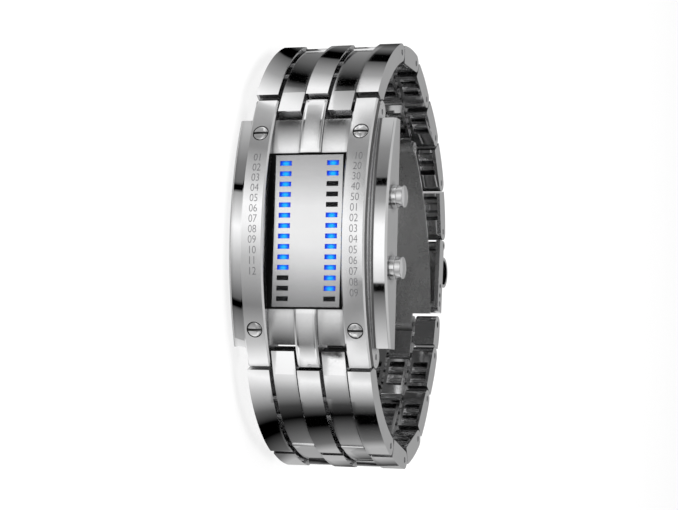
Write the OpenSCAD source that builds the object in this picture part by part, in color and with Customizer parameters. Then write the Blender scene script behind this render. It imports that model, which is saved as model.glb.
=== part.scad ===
// LED watch on a five-column steel bracelet, clasp closed, lying on its 9 o'clock side.
// X runs from 12 o'clock (-X) to 6 o'clock (+X), Y from the dial to the wrist,
// Z across the band, from the side guard on the ground up to the push buttons.

/* [Head] */
// Length of the head along its side plates
head_l = 45.8; // [44.8:0.2:47]
// Radius of the arched front
front_r = 46.35; // [44:0.5:50]
// Width of the case and of the bracelet
case_w = 22; // [21.4:0.2:23]
// Depth of the case from the crown of the plates to the case back
case_d = 10.6; // [10.4:0.1:11.4]
// Width of a side plate
plate_w = 4.13; // [4.05:0.01:4.3]
// Thickness of a side plate
plate_t = 1.6; // [1.2:0.1:1.6]
// Width of the centre bars
bar_w = 4; // [3.6:0.1:4]
// Radius of the centre bars and end panels
bar_r = 22; // [21:0.5:26]
// Depth of the centre bars beside the window
bar_y = 2.9; // [2.8:0.1:3.2]
// Bevel of the plates and guards
bevel = 0.3; // [0.1:0.05:0.4]
// Diameter of a plate screw's head
screw_d = 2.5; // [2:0.1:2.7]

/* [Display] */
// Length of the display window
window_l = 25.8; // [25.4:0.2:26.6]
// Width of the display window
window_w = 12; // [11.6:0.1:12.4]
// Depth of the display behind the crown of the plates
window_y = 2.4; // [2.2:0.1:2.5]
// Number of lights in a column
lights = 14; // [10:1:14]
// Distance between two lights
light_pitch = 1.77; // [1.6:0.01:1.8]
// Length of a light, across the band
light_w = 2.1; // [1.6:0.1:2.4]
// Height of a light
light_h = 0.84; // [0.6:0.02:1]
// Distance of a column of lights from the middle
light_z = 4.2; // [3.8:0.1:4.4]

/* [Guards and buttons] */
// Width of a side guard
guard_w = 3.05; // [2.4:0.05:3.6]
// Length of a side guard
guard_l = 39.2; // [36:0.4:40]
// Setback of the guards behind the plates
guard_y = 2.87; // [2.4:0.1:3.4]
// Diameter of a push button's cap
cap_d = 4; // [3.2:0.1:4.4]
// Length of a push button's cap
cap_l = 1.7; // [1.4:0.05:2.2]
// Free space under a cap
cap_gap = 0.55; // [0.4:0.05:0.7]
// Distance between the two push buttons
button_gap = 12; // [10:0.5:14]

/* [Bracelet] */
// Width of the three outer columns
outer_w = 4; // [3.7:0.05:4.1]
// Gap between neighbouring columns
col_gap = 0.45; // [0.35:0.05:0.6]
// Distance between the pins of a link
pitch = 9.4; // [9.2:0.05:9.6]
// Distance between the pins of the first link at 12 o'clock
first_12 = 16.8; // [16.4:0.2:17.4]
// Distance between the pins of the first link at 6 o'clock
first_6 = 18.2; // [17.8:0.2:18.8]
// Distance between the pins of the last link at 6 o'clock
last_6 = 6.2; // [6:0.1:6.8]
// Thickness of a link
link_t = 3.2; // [3:0.1:3.3]
// Swell of a link's outer face
crown = 0.3; // [0.1:0.05:0.5]
// How much lower the two inner columns lie
inner_drop = 0.7; // [0.4:0.1:0.8]
// Wall of the folded links
wall = 0.6; // [0.5:0.05:0.8]
// Diameter of a link pin
pin_d = 1; // [0.8:0.1:1.2]

/* [Clasp] */
// Thickness of the sheet that the clasp is folded from
sheet = 0.6; // [0.5:0.05:0.6]
// Depth of the cover's side walls
cover_d = 2.9; // [2.4:0.1:3.2]
// Distance of the end blade's sides from the sides of the band
blade_in = 1.2; // [1.1:0.1:2]
// The same at its fold
blade_fold_in = 2.5; // [2:0.1:2.8]
// The same for the middle blade
blade_mid_in = 4; // [3.5:0.1:5]
// Length of the middle blade between its hinges
blade_mid_l = 30.45; // [30.2:0.05:30.8]
// Radius of the folded blades
blade_r = 37.8; // [36:0.2:40]
// Outer radius of the finger arch on the safety flap
arch_r = 2.9; // [2.4:0.1:3.1]

/* [Hidden] */
$fn = 64;

// Clearances: a turning fit, a still fit, the space between links and a cut that runs through
run = 0.03;
seat = 0.02;
slack = 0.2;
far = 60;

// Bracelet: the lug pin, and each link's direction from the head's long axis towards the wrist
lug = [head_l / 2 - 2, 8.7];
lug_r = 1.9;
turns_12 = [42, 91, 124, 131, 148, 167];
turns_6 = [34.5, 74, 113, 142, 150, 165];
pitches_12 = [first_12, pitch, pitch, pitch, pitch, pitch];
pitches_6 = [first_6, pitch, pitch, pitch, pitch, last_6];
link_r = link_t / 2;
band_w = case_w;
inner_w = (band_w - 3 * outer_w - 4 * col_gap) / 2;
inner_z = outer_w / 2 + col_gap + inner_w / 2;
outer_z = (band_w - outer_w) / 2;
outer_cols = [-outer_z, 0, outer_z];
side_cols = [-outer_z, outer_z];
inner_cols = [-inner_z, inner_z];

function along(a) = [cos(a), sin(a)];
function angle_of(v) = atan2(v[1], v[0]);
function turned(v, a) = [v[0] * cos(a) - v[1] * sin(a), v[0] * sin(a) + v[1] * cos(a)];
// Pin positions of a run of links
function chain(p, turns, lengths, i = 0) =
    concat([p], i < len(turns)
        ? chain(p + lengths[i] * along(turns[i]), turns, lengths, i + 1) : []);
// Point at the distance ra from a and rb from b, on the left of the way from a to b
function meet(a, ra, b, rb) =
    let (d = norm(b - a), t = (d * d + ra * ra - rb * rb) / (2 * d), u = (b - a) / d)
    a + t * u + sqrt(ra * ra - t * t) * [-u[1], u[0]];

pins_12 = chain(lug, turns_12, pitches_12);
pins_6 = chain(lug, turns_6, pitches_6);

// Clasp: the cover starts at the last pin of the 12 o'clock side and the end blade at that of the other
blade_turn = 201.4448;
cover_at = [-pins_12[6][0], pins_12[6][1]];
blade_at = pins_6[6];
hinge_1 = blade_at + [-3.98, 1.01];
hinge_2 = hinge_1 + blade_mid_l * along(blade_turn);
hinge_r = 0.9;
fold_r = 1.15;
hinge_drop = 0.65;
cover_axis = hinge_1 + [0, hinge_drop] - cover_at;
cover_turn = angle_of(cover_axis);
cover_l = norm(cover_axis);
neck_rise = 1.46;
fold_rise = 0.65;
blade_centre = meet(blade_at, blade_r + neck_rise, hinge_2, blade_r + fold_rise);
blade_w = band_w - 2 * blade_in;
blade_fold_w = band_w - 2 * blade_fold_in;
blade_mid_w = band_w - 2 * blade_mid_in;
flap_hinge = [2.6, 0.7];
flap_y = 1;
arch_at = [7.6, 2.4];

// The middle of the ring's box goes to the origin and the left guard's face to the ground
half_w = case_w / 2 + guard_w;
reach_12 = max([for (p = pins_12) p[0]]) + link_r + crown;
reach_6 = max([for (p = pins_6) p[0]]) + link_r;
reach_y = (cover_at + turned(arch_at, cover_turn))[1] + arch_r;

module placed() {
    translate([(reach_12 - reach_6) / 2, -reach_y / 2, half_w])
        children();
}

// A side of the head or bracelet is drawn towards +X and mirrored for 12 o'clock
module on_12() {
    mirror([1, 0, 0])
        children();
}

// A plate of the width w, centred at the height z, from a flat outline
module across(w, z = 0) {
    translate([0, 0, z - w / 2])
        linear_extrude(height = w)
            children();
}

module rod(p, d, w, z = 0) {
    translate([p[0], p[1], z - w / 2])
        cylinder(h = w, d = d);
}

// Head

plate_z = (case_w - plate_w) / 2;
inside_w = case_w - 2 * plate_w;
bar_t = 0.9;
panel_drop = 0.6;
panel_t = 0.6;
panel_x0 = window_l / 2 + 0.35;
panel_x1 = lug[0] - 1.7;
middle_x = lug[0] - 2;
lug_x0 = middle_x - 0.5;
rim_y = window_y + 0.8;
back_y = case_d - 1;
cavity = [window_l + 1.6, 5, 16.4];
cavity_y = 4.4;

// Centre of the smaller arc that bars and panels follow, from the window out to the plates' ends
plate_end = [head_l / 2, front_r - sqrt(front_r * front_r - head_l * head_l / 4)];
bar_c = meet([panel_x0, bar_y], bar_r, plate_end, bar_r);

module front_disc(drop) {
    translate([0, front_r])
        circle(r = front_r - drop, $fn = 180);
}

module bar_disc(drop) {
    for (s = [0, 1])
        mirror([s, 0])
            translate(bar_c)
                circle(r = bar_r - drop, $fn = 180);
}

// Sector of a ring of the radius r about c, swept from x0 to x1 along the head
module arched(x0, x1, c = [0, front_r], r = front_r) {
    a0 = asin((x0 - c[0]) / r);
    a1 = asin((x1 - c[0]) / r);
    translate([c[0], c[1], 0])
        rotate([0, 0, a0 - 90])
            rotate_extrude(angle = a1 - a0, $fn = 180)
                children();
}

// An outline under a plate or bar, from the middle out to the lugs
module flank() {
    intersection() {
        children();
        union() {
            translate([-lug[0], 0])
                square([2 * lug[0], back_y]);
            for (s = [-1, 1])
                translate([s * lug[0], lug[1]])
                    circle(r = lug_r);
        }
    }
}

module case_middle() {
    translate([-panel_x0, rim_y])
        square([2 * panel_x0, back_y - rim_y]);
    difference() {
        intersection() {
            bar_disc(panel_drop + panel_t);
            translate([-middle_x, 0])
                square([2 * middle_x, back_y]);
        }
        translate([-panel_x0, -1])
            square([2 * panel_x0, rim_y + 1]);
    }
}

module centre_lug() {
    difference() {
        flank()
            bar_disc(bar_t);
        translate([-lug_x0, -1])
            square([2 * lug_x0, far]);
    }
}

module case_block() {
    for (s = [-1, 1])
        across(plate_w, s * plate_z)
            flank()
                front_disc(plate_t);
    across(inside_w)
        case_middle();
    // joined to the sides below the plates
    across(inside_w + 1)
        intersection() {
            case_middle();
            front_disc(plate_t + slack);
        }
    across(bar_w)
        centre_lug();
}

module case() {
    color("silver")
        placed()
            difference() {
                case_block();
                // chamber for the works, open to the back, and the window to the front
                translate([-cavity[0] / 2, cavity_y, -cavity[2] / 2])
                    cube([cavity[0], far, cavity[2]]);
                translate([-window_l / 2, -1, -window_w / 2])
                    cube([window_l, far, window_w]);
                for (s = [-1, 1]) {
                    rod([s * lug[0], lug[1]], pin_d + 2 * seat, case_w + 1);
                    button_bore(s);
                    for (t = [-1, 1]) {
                        plate_screw_axis(s, t)
                            cylinder(h = screw_l + 0.2, d = shank_d + 2 * seat);
                        back_screw_bore(s, t);
                    }
                }
            }
}

// Case back, gasket and the back's four screws

back_l = 35;
back_w = case_w - 2;
back_rim = 3;
back_side = 1.6;
back_t = 0.6;
back_screw_d = 0.9;
back_screw_l = 1.6;
back_screw_at = [16.2, 7.4];

module back_screw_axis(s, t) {
    translate([s * back_screw_at[0], back_y, t * back_screw_at[1]])
        rotate([-90, 0, 0])
            children();
}

module back_screw_bore(s, t) {
    back_screw_axis(s, t)
        translate([0, 0, -back_screw_l - slack])
            cylinder(h = 2 * back_screw_l + slack, d = back_screw_d + 2 * seat);
}

module case_back() {
    color("gainsboro")
        placed()
            difference() {
                union() {
                    translate([-back_l / 2, back_y, -back_w / 2])
                        cube([back_l, back_t, back_w]);
                    translate([-back_l / 2 + back_rim, back_y, -back_w / 2 + back_side])
                        cube([back_l - 2 * back_rim, case_d - back_y, back_w - 2 * back_side]);
                }
                for (s = [-1, 1])
                    for (t = [-1, 1])
                        back_screw_bore(s, t);
            }
}

gasket_w = 0.8;
gasket_t = 0.5;

module gasket() {
    inside = [cavity[0] - 2 * gasket_w, cavity[2] - 2 * gasket_w];
    color("black")
        placed()
            translate([0, back_y - gasket_t, 0])
                difference() {
                    translate([-cavity[0] / 2 + seat, 0, -cavity[2] / 2 + seat])
                        cube([cavity[0] - 2 * seat, gasket_t - seat, cavity[2] - 2 * seat]);
                    translate([-inside[0] / 2, -1, -inside[1] / 2])
                        cube([inside[0], far, inside[1]]);
                }
}

module back_screws() {
    color("silver")
        placed()
            for (s = [-1, 1])
                for (t = [-1, 1])
                    back_screw_axis(s, t) {
                        translate([0, 0, -back_screw_l])
                            cylinder(h = back_screw_l + back_t + 0.1, d = back_screw_d);
                        translate([0, 0, back_t])
                            difference() {
                                cylinder(h = 0.4, d = 1.7);
                                translate([-1, -0.15, 0.2])
                                    cube([2, 0.3, 1]);
                            }
                    }
}

// Works

cell_d = 12;
cell_t = 2;
cell_x = 6.6;
board_y = cavity_y + 0.1;
board_t = 0.8;
board_more = [0.6, 1.2];
frame_y = board_y + board_t;
frame_end = back_y - 0.6;
stem_pocket = [2.6, 1.2];

module cell_axis(s) {
    translate([s * cell_x, frame_end - cell_t - 0.1, 0])
        rotate([-90, 0, 0])
            children();
}

module module_frame() {
    color("dimgray")
        placed()
            difference() {
                translate([-cavity[0] / 2 + 0.3, frame_y, -cavity[2] / 2 + 0.3])
                    cube([cavity[0] - 0.6, frame_end - frame_y, cavity[2] - 0.6]);
                for (s = [-1, 1]) {
                    cell_axis(s)
                        cylinder(h = far, d = cell_d + 0.3);
                    // room for the inner end of a button's stem
                    translate([s * button_gap / 2 - stem_pocket[0] / 2, -1, cavity[2] / 2 - stem_pocket[1]])
                        cube([stem_pocket[0], far, far]);
                }
            }
}

module cell(s) {
    color("lightsteelblue")
        placed()
            cell_axis(s) {
                cylinder(h = cell_t * 0.3, d = cell_d - 1.4);
                translate([0, 0, cell_t * 0.3 - 0.05])
                    cylinder(h = cell_t * 0.7 + 0.05, d = cell_d);
            }
}

module led_board() {
    color("darkgreen")
        placed()
            translate([-window_l / 2 - board_more[0], board_y, -window_w / 2 - board_more[1]])
                cube([window_l + 2 * board_more[0], board_t, window_w + 2 * board_more[1]]);
}

// Display: two columns of lights that stand on the board, in the slots of a mirror under the glass

glass_t = 0.8;
mask_t = 0.5;
mask_y = window_y + glass_t + seat;

function light_x(i) = (i - (lights - 1) / 2) * light_pitch;

module light_blocks(s, play, y0, y1) {
    for (i = [0 : lights - 1])
        translate([light_x(i) - light_h / 2 + play, y0, s * light_z - light_w / 2 + play])
            cube([light_h - 2 * play, y1 - y0, light_w - 2 * play]);
}

module lights_hours() {
    color("deepskyblue")
        placed()
            light_blocks(-1, seat, mask_y + 0.15, board_y);
}

module lights_minutes() {
    color("deepskyblue")
        placed()
            light_blocks(1, seat, mask_y + 0.15, board_y);
}

module pane(y, t) {
    translate([-window_l / 2 + seat, y, -window_w / 2 + seat])
        cube([window_l - 2 * seat, t, window_w - 2 * seat]);
}

module mirror_mask() {
    color("lightgray")
        placed()
            difference() {
                pane(mask_y, mask_t);
                for (s = [-1, 1])
                    light_blocks(s, 0, 0, far);
            }
}

module crystal() {
    color("white", 0.4)
        placed()
            pane(window_y, glass_t);
}

// Polished front of the head

// A layer of the arc from drop below its face to depth, between x0 and x1
module bar_layer(x0, x1, drop, depth) {
    intersection() {
        difference() {
            bar_disc(drop);
            bar_disc(depth);
        }
        translate([x0, 0])
            square([x1 - x0, back_y]);
    }
}

module end_panel() {
    difference() {
        across(inside_w - 2 * seat)
            bar_layer(panel_x0, panel_x1, panel_drop, panel_drop + panel_t);
        across(bar_w + 2 * seat) {
            bar_layer(panel_x0 - 1, panel_x1 + 1, 0, bar_t);
            // the case's middle lug stands in the panel's end
            bar_layer(lug_x0 - seat, panel_x1 + 1, 0, 2 * panel_t + panel_drop);
        }
    }
}

module end_panel_12() {
    color("lightgray")
        placed()
            on_12()
                end_panel();
}

module end_panel_6() {
    color("lightgray")
        placed()
            end_panel();
}

// A bar with a softly rounded face
module centre_bar() {
    intersection() {
        arched(panel_x0 - 1, head_l / 2 + 1, bar_c, bar_r)
            intersection() {
                translate([bar_r - bar_t, -bar_w / 2])
                    square([bar_t, bar_w]);
                translate([bar_r - 2 * bar_w, 0])
                    circle(r = 2 * bar_w);
            }
        translate([panel_x0, 0, -bar_w])
            cube([head_l / 2 - panel_x0, far, 2 * bar_w]);
    }
}

module centre_bar_12() {
    color("silver")
        placed()
            on_12()
                centre_bar();
}

module centre_bar_6() {
    color("silver")
        placed()
            centre_bar();
}

// Side plates with their slotted screws

screw_x = 16.8;
screw_l = 3;
shank_d = 1.2;
sink = 0.7;

module plate_screw_axis(s, t) {
    translate([0, front_r, t * plate_z])
        rotate([0, 0, s * asin(screw_x / front_r)])
            translate([0, -front_r, 0])
                rotate([-90, 0, 0])
                    children();
}

module side_plate(t) {
    color("silver")
        placed()
            difference() {
                arched(-head_l / 2, head_l / 2)
                    translate([front_r - plate_t, t * plate_z - plate_w / 2])
                        polygon([[0, 0], [plate_t - bevel, 0], [plate_t, bevel],
                            [plate_t, plate_w - bevel], [plate_t - bevel, plate_w], [0, plate_w]]);
                for (s = [-1, 1])
                    plate_screw_axis(s, t) {
                        translate([0, 0, -1])
                            cylinder(h = 1 + sink, d = screw_d + 0.3);
                        cylinder(h = screw_l + plate_t, d = shank_d + 2 * seat);
                    }
            }
}

module plate_screw(s, t) {
    dome = 6;
    color("whitesmoke")
        placed()
            plate_screw_axis(s, t) {
                difference() {
                    intersection() {
                        translate([0, 0, -0.1])
                            cylinder(h = sink + 0.1, d = screw_d);
                        translate([0, 0, dome - 0.1])
                            sphere(r = dome, $fn = 96);
                    }
                    // the slot lies across the band
                    translate([-0.2, -screw_d, -1])
                        cube([0.4, 2 * screw_d, 1.35]);
                }
                translate([0, 0, sink - 0.1])
                    cylinder(h = screw_l - sink, d = shank_d);
            }
}

// Side guards

guard_more = 4.75;
guard_r = front_r + guard_more;
guard_back = 9.4;

module guard() {
    intersection() {
        translate([0, guard_y + guard_r, case_w / 2])
            rotate_extrude($fn = 180)
                polygon([[0, 0], [guard_r, 0], [guard_r, guard_w - bevel],
                    [guard_r - bevel, guard_w], [0, guard_w]]);
        translate([-guard_l / 2, 0, 0])
            cube([guard_l, guard_back, far]);
    }
}

module guard_left() {
    color("silver")
        placed()
            mirror([0, 0, 1])
                guard();
}

module guard_right() {
    color("silver")
        placed()
            difference() {
                guard();
                for (s = [-1, 1])
                    button_bore(s);
            }
}

// Push buttons in their flanged tubes

button_y = 6.2;
tube_d = 2.4;
stem_d = 1.4;
collar_d = 4.3;
collar_h = 0.4;
tube_end = 8.3;
clip_d = 2.2;
clip_h = 0.35;
dome_h = 0.35;

module button_axis(s) {
    translate([s * button_gap / 2, button_y, 0])
        children();
}

module button_bore(s) {
    button_axis(s)
        translate([0, 0, cavity[2] / 2 - 1])
            cylinder(h = far, d = tube_d + 2 * seat);
}

module button_tube(s) {
    color("silver")
        placed()
            button_axis(s)
                difference() {
                    union() {
                        translate([0, 0, tube_end])
                            cylinder(h = half_w + collar_h - tube_end, d = tube_d);
                        translate([0, 0, half_w])
                            cylinder(h = collar_h, d = collar_d);
                    }
                    cylinder(h = far, d = stem_d + 2 * run);
                }
}

module button(s) {
    cap_z = half_w + collar_h + cap_gap;
    dome = (cap_d * cap_d / 4 + dome_h * dome_h) / (2 * dome_h);
    color("whitesmoke")
        placed()
            button_axis(s) {
                translate([0, 0, cap_z])
                    intersection() {
                        cylinder(h = cap_l + dome_h, d = cap_d);
                        translate([0, 0, cap_l + dome_h - dome])
                            sphere(r = dome, $fn = 96);
                    }
                translate([0, 0, tube_end - 0.6])
                    cylinder(h = cap_z - tube_end + 0.8, d = stem_d);
                translate([0, 0, tube_end - clip_h - 0.05])
                    cylinder(h = clip_h, d = clip_d);
            }
}

// Links: drawn with the near pin at the origin, the far pin at (l, 0) and the wrist on the +Y side

// Side view of a link with a swelled top that lies drop below the full height
module crowned(x0, x1, drop = 0) {
    half = (x1 - x0) / 2;
    top = drop - link_r - crown;
    r = (half * half + crown * crown) / (2 * crown);
    intersection() {
        translate([x0, top])
            square([x1 - x0, link_r - top]);
        translate([x0 + half, top + r])
            circle(r = r, $fn = 128);
    }
}

// Each link reaches its far pin with the outer columns and its near pin with the inner ones
module outer_outline(l) {
    crowned(link_r + slack, l);
    translate([l, 0])
        circle(r = link_r);
}

module inner_outline(l) {
    intersection() {
        circle(r = link_r);
        translate([-link_r, inner_drop - link_r])
            square(link_t);
    }
    crowned(0, l - link_r - slack, inner_drop);
}

top_t = 0.8;
knuckle_gap = 0.25;
bar_d = 1.3;

module pocket(x0, x1, w, z, drop = 0) {
    across(w - 2 * wall, z)
        translate([x0, drop + top_t - link_r])
            square([x1 - x0, link_t]);
}

// A folded link, open to the wrist, with two bars through all its columns; ears are its far columns
module link(l, ears = outer_cols) {
    near = link_r + slack;
    knuckle = link_r + knuckle_gap;
    difference() {
        union() {
            for (z = ears)
                across(outer_w, z)
                    outer_outline(l);
            for (z = inner_cols)
                across(inner_w, z)
                    inner_outline(l);
            // the middle column of a link that ends between its ears
            across(outer_w)
                crowned(near, l - near);
        }
        for (z = outer_cols)
            pocket(near + wall, l - knuckle - wall, outer_w, z);
        for (z = inner_cols)
            pocket(knuckle, l - near - wall, inner_w, z, inner_drop);
        rod([0, 0], pin_d + 2 * run, far);
        rod([l, 0], pin_d + 2 * seat, far);
    }
    for (x = [0.36, 0.64])
        rod([x * l, 0.3], bar_d, band_w - wall);
}

// First link: an arc that starts over the lug, level with the plates

nose = [0.4, -4.05];
first_r = 26;
lug_gap = 0.25;
first_bars = [6.2, 10.4];
first_pocket = 4.2;
tongue_l = 3.2;
tongue_t = 2.2;

function first_centre(l) = meet(nose, first_r, [l, 0], first_r - link_r);
function arc_deg(s) = s / first_r * 180 / PI;

module wedge(c, a0, a1) {
    translate(c)
        polygon([[0, 0], far * along(a0), far * along(a1)]);
}

// Stretch of the arc between two angles about its centre, drop below the surface to depth
module arc_band(c, a0, a1, drop, depth) {
    intersection() {
        translate(c)
            difference() {
                circle(r = first_r - drop, $fn = 180);
                circle(r = first_r - depth, $fn = 180);
            }
        wedge(c, a0, a1);
    }
}

module first_link(l) {
    c = first_centre(l);
    a0 = angle_of(nose - c);
    a1 = angle_of([l, 0] - c);
    a2 = a1 - arc_deg(link_r + slack);
    pocket_a = a0 + arc_deg(first_pocket);
    difference() {
        union() {
            for (z = outer_cols)
                across(outer_w, z)
                    difference() {
                        union() {
                            arc_band(c, a0, a1, 0, link_t);
                            translate([l, 0])
                                circle(r = link_r);
                        }
                        circle(r = lug_r + lug_gap);
                    }
            for (z = inner_cols)
                across(inner_w, z) {
                    arc_band(c, a0, a2, inner_drop, link_t);
                    circle(r = link_r);
                    // straight end that reaches over the lug pin
                    translate(c + (first_r - inner_drop) * along(a0))
                        rotate(a0 - 90)
                            translate([-1, -tongue_t])
                                square([tongue_l + 1, tongue_t]);
                }
        }
        for (z = outer_cols)
            across(outer_w - 2 * wall, z)
                arc_band(c, pocket_a, a1 - arc_deg(link_r + knuckle_gap), top_t, 2 * link_t);
        for (z = inner_cols)
            across(inner_w - 2 * wall, z)
                arc_band(c, pocket_a, a2 - arc_deg(wall), inner_drop + top_t, 2 * link_t);
        rod([0, 0], pin_d + 2 * run, far);
        rod([l, 0], pin_d + 2 * seat, far);
    }
    for (s = first_bars)
        rod(c + (first_r - link_r) * along(a0 + arc_deg(s)), bar_d, band_w - wall);
}

// Link or pin number i on one side of the head, at its rest place

module at_link(pins, turns, i) {
    translate([pins[i - 1][0], pins[i - 1][1], 0])
        rotate([0, 0, turns[i - 1]])
            children();
}

module link_at_12(i) {
    color("silver")
        placed()
            on_12()
                at_link(pins_12, turns_12, i)
                    if (i == 1)
                        first_link(first_12);
                    else
                        link(pitch);
}

module link_at_6(i) {
    color("silver")
        placed()
            at_link(pins_6, turns_6, i)
                if (i == 1)
                    first_link(first_6);
                else if (i == 6)
                    link_6_last();
                else
                    link(pitch);
}

// A pin through the columns that meet at p
module link_pin(p) {
    color("gray")
        placed()
            rod(p, pin_d, band_w - 2 * seat - 0.4);
}

// Last link at 6 o'clock: its two ears take the spring bar that ends the end blade

tip_d = 0.7;
tip_play = 0.25;
tip_in = 1.5;
spring_d = 1.2;
neck_gap = 0.7;
blade_neck = band_w - 2 * outer_w - 2 * neck_gap;

module link_6_last() {
    near = link_r + slack;
    difference() {
        union() {
            for (z = side_cols)
                across(outer_w, z)
                    outer_outline(last_6);
            for (z = inner_cols)
                across(inner_w, z)
                    inner_outline(last_6);
            across(outer_w)
                crowned(near, last_6 - near);
        }
        rod([0, 0], pin_d + 2 * run, far);
        rod([last_6, 0], tip_d + 2 * tip_play, far);
    }
    rod([last_6 / 2, 0.3], bar_d, band_w - wall);
}

module spring_bar() {
    color("gray")
        placed() {
            rod(blade_at, spring_d, blade_neck);
            rod(blade_at, tip_d, band_w - 2 * tip_in);
        }
}

// Clasp cover, drawn from its pin towards its hinge with +Y away from the wrist

cover_x0 = link_r + slack;
cover_x1 = cover_l + 1.6;
cover_wall = 0.8;
cover_y = flap_y - 0.1;
wall_z = (band_w - cover_wall) / 2;
tongue_end = 4.3;
adjust_holes = [10.6, 12.4];
hole_d = 0.8;
flap_pin_d = 0.8;
flap_hinge_r = 0.85;
flap_side_w = 2.9;
flap_side_z = (band_w - flap_side_w) / 2 - 1.1;
flap_cols = [[0, outer_w], [-flap_side_z, flap_side_w], [flap_side_z, flap_side_w]];

module in_cover() {
    translate([cover_at[0], cover_at[1], 0])
        rotate([0, 0, cover_turn])
            children();
}

module cover_side() {
    corner = 1;
    difference() {
        union() {
            translate([cover_x0, cover_y - cover_d])
                square([cover_x1 - cover_x0, cover_d]);
            translate(flap_hinge)
                circle(r = flap_hinge_r);
        }
        // rounded lower corner at the far end
        difference() {
            translate([cover_x1 - corner, cover_y - cover_d - 1])
                square([2, corner + 1]);
            translate([cover_x1 - corner, cover_y - cover_d + corner])
                circle(r = corner);
        }
        for (x = adjust_holes)
            translate([x, -0.7])
                circle(d = hole_d);
    }
}

module cover_tongue() {
    circle(r = link_r);
    translate([0, -link_r])
        square([tongue_end / 2, 2 * link_r - 0.6]);
    translate([0, cover_y - 2 * sheet])
        square([tongue_end, 2 * sheet]);
    translate(flap_hinge)
        circle(r = flap_hinge_r);
}

module clasp_cover() {
    color("silver")
        placed()
            difference() {
                in_cover()
                    difference() {
                        union() {
                            across(band_w)
                                translate([cover_x0, cover_y - sheet])
                                    square([cover_x1 - cover_x0, sheet]);
                            for (z = [-wall_z, wall_z])
                                across(cover_wall, z)
                                    cover_side();
                            for (z = inner_cols)
                                across(inner_w, z)
                                    cover_tongue();
                        }
                        // room for the flap's knuckles
                        for (c = flap_cols)
                            across(c[1] + 0.4, c[0])
                                translate([cover_x0 - 1, -1])
                                    square([flap_hinge[0] + flap_hinge_r + 0.25 - cover_x0 + 1, 3]);
                        rod(flap_hinge, flap_pin_d + 2 * run, far);
                        rod([0, 0], pin_d + 2 * run, far);
                    }
                rod(hinge_1, pin_d + 2 * seat, far);
            }
}

module cover_pin() {
    color("gray")
        placed()
            rod(hinge_1, pin_d, band_w - 0.3);
}

// Safety flap with a finger arch across the cover

flap_x1 = cover_x1;
flap_w = band_w - 0.4;

module arch_outline(r) {
    intersection() {
        union() {
            translate([arch_at[0] - r, 0])
                square([2 * r, arch_at[1]]);
            translate(arch_at)
                circle(r = r);
        }
        translate([0, flap_y])
            square(far);
    }
}

module flap_outline() {
    difference() {
        union() {
            translate([tongue_end, flap_y])
                square([flap_x1 - tongue_end, sheet]);
            arch_outline(arch_r);
        }
        arch_outline(arch_r - sheet);
    }
}

module flap_knuckle() {
    translate(flap_hinge)
        circle(r = flap_hinge_r);
    translate([flap_hinge[0], flap_y])
        square([tongue_end - flap_hinge[0] + 0.1, sheet]);
    translate([flap_hinge[0], flap_hinge[1]])
        square([flap_hinge_r, flap_y - flap_hinge[1] + 0.1]);
}

module safety_flap() {
    color("silver")
        placed()
            in_cover() {
                across(flap_w)
                    flap_outline();
                for (c = flap_cols)
                    across(c[1], c[0])
                        flap_knuckle();
                rod(flap_hinge, flap_pin_d, band_w - 0.4);
            }
}

// Folded blades: sheets bent about one centre, joined by the fold's knuckles

fold_cols = 7;
fold_gap = 0.25;
fold_web = 3;
sheet_gap = 0.6;
fold_out = blade_fold_w - 1.6;

// A bent sheet between two angles, cut to an outline in X and Z
module bent_sheet(r0, p0, p1) {
    a0 = angle_of(p0 - blade_centre);
    a1 = angle_of(p1 - blade_centre);
    intersection() {
        across(band_w)
            intersection() {
                translate(blade_centre)
                    difference() {
                        circle(r = r0 + sheet, $fn = 180);
                        circle(r = r0, $fn = 180);
                    }
                translate(blade_centre)
                    polygon([[0, 0], far * along(a0), far * along((a0 + a1) / 2), far * along(a1)]);
            }
        translate([0, far, 0])
            rotate([90, 0, 0])
                linear_extrude(height = 2 * far)
                    children();
    }
}

module blade_middle() {
    color("gainsboro")
        placed()
            difference() {
                union() {
                    difference() {
                        bent_sheet(blade_r + sheet / 2 + sheet_gap, hinge_1, hinge_2)
                            translate([-far, -blade_mid_w / 2])
                                square([2 * far, blade_mid_w]);
                        rod(hinge_2, 2 * (fold_r + fold_gap), far);
                    }
                    rod(hinge_1, 2 * hinge_r, blade_mid_w);
                    rod(hinge_2, 2 * fold_r, fold_cols);
                    // web from the sheet to the fold's knuckle
                    across(fold_cols)
                        intersection() {
                            translate(blade_centre)
                                difference() {
                                    circle(r = blade_r + 1.5 * sheet + sheet_gap, $fn = 180);
                                    circle(r = blade_r + sheet / 2 + sheet_gap, $fn = 180);
                                }
                            translate(hinge_2)
                                circle(r = fold_web);
                        }
                    rod(hinge_2, pin_d, fold_out);
                }
                rod(hinge_1, pin_d + 2 * run, far);
            }
}

module blade_end() {
    neck_x = blade_at[0] - link_r - 2 * slack;
    half_fold = blade_fold_w / 2;
    half_wide = blade_w / 2;
    half_neck = blade_neck / 2;
    x0 = hinge_2[0] - fold_web;
    x1 = blade_at[0] + fold_web;
    color("gainsboro")
        placed()
            difference() {
                union() {
                    bent_sheet(blade_r - sheet / 2, blade_at, hinge_2)
                        polygon([[x0, -half_fold], [neck_x, -half_wide], [neck_x, -half_neck],
                            [x1, -half_neck], [x1, half_neck], [neck_x, half_neck],
                            [neck_x, half_wide], [x0, half_fold]]);
                    rod(blade_at, 2 * link_r, blade_neck);
                    rod(hinge_2, 2 * fold_r, blade_fold_w);
                }
                rod(hinge_2, 2 * (fold_r + fold_gap), fold_cols + 0.4);
                rod(hinge_2, pin_d + 2 * run, far);
                rod(blade_at, spring_d + 2 * seat, far);
            }
}

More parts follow.
